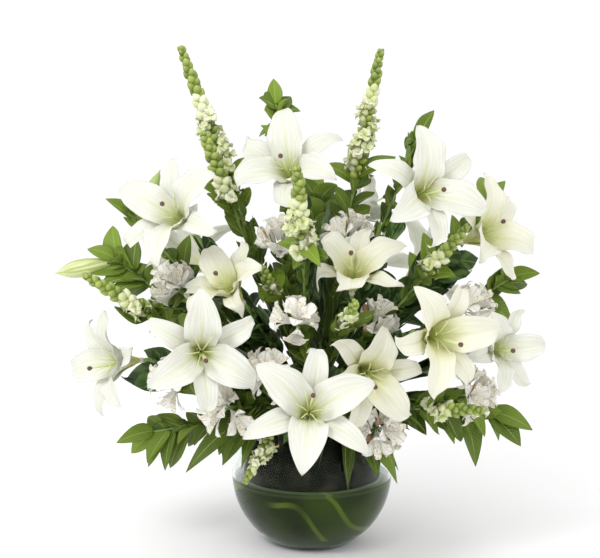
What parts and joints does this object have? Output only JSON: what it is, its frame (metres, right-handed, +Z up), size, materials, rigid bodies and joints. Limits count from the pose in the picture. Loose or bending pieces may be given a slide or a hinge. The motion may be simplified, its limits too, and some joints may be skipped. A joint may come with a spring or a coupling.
{
  "type": "floral table centerpiece",
  "caption": "Domed arrangement of white lilies, snapdragon spikes, alstroemeria and leafy sprigs in wet foam, inside a leaf-lined round glass bowl with water.",
  "frame": {"origin": "centre of the bowl's flat underside, on the table", "axes": "+Z up, -Y towards the side that the picture shows, +X to that side's right"},
  "size_m": [0.7386, 0.667, 0.7817],
  "materials": {
    "glass": "gloss",
    "water": "gloss",
    "liner_leaf": "satin",
    "foam": "matte",
    "lily_petal": "satin",
    "lily_stem": "satin",
    "snapdragon": "satin",
    "alstroemeria": "satin",
    "foliage": "satin"
  },
  "bodies": {
    "root": {"glass_bowl": "glass", "water": "water", "liner_leaf": "liner_leaf", "floral_foam": "foam", "lily_01": "lily_petal", "lily_02": "lily_petal", "lily_03": "lily_petal", "lily_04": "lily_petal", "lily_05": "lily_petal", "lily_06": "lily_petal", "lily_07": "lily_petal", "lily_08": "lily_petal", "lily_09": "lily_petal", "lily_10": "lily_petal", "lily_11": "lily_petal", "lily_12": "lily_petal", "lily_13": "lily_petal", "lily_14": "lily_petal", "lily_15": "lily_petal", "lily_16": "lily_petal", "lily_stem_1": "lily_stem", "lily_stem_2": "lily_stem", "lily_stem_3": "lily_stem", "lily_stem_4": "lily_stem", "lily_stem_5": "lily_stem", "lily_stem_6": "lily_stem", "lily_stem_7": "lily_stem", "lily_stem_8": "lily_stem", "snapdragon_01": "snapdragon", "snapdragon_02": "snapdragon", "snapdragon_03": "snapdragon", "snapdragon_04": "snapdragon", "snapdragon_05": "snapdragon", "snapdragon_06": "snapdragon", "snapdragon_07": "snapdragon", "snapdragon_08": "snapdragon", "snapdragon_09": "snapdragon", "snapdragon_10": "snapdragon", "alstroemeria_01": "alstroemeria", "alstroemeria_02": "alstroemeria", "alstroemeria_03": "alstroemeria", "alstroemeria_04": "alstroemeria", "alstroemeria_05": "alstroemeria", "alstroemeria_06": "alstroemeria", "alstroemeria_07": "alstroemeria", "alstroemeria_08": "alstroemeria", "alstroemeria_09": "alstroemeria", "alstroemeria_10": "alstroemeria", "alstroemeria_11": "alstroemeria", "sprig_01": "foliage", "sprig_02": "foliage", "sprig_03": "foliage", "sprig_04": "foliage", "sprig_05": "foliage", "sprig_06": "foliage", "sprig_07": "foliage", "sprig_08": "foliage", "sprig_09": "foliage", "sprig_10": "foliage", "sprig_11": "foliage"}
  },
  "joints": []
}
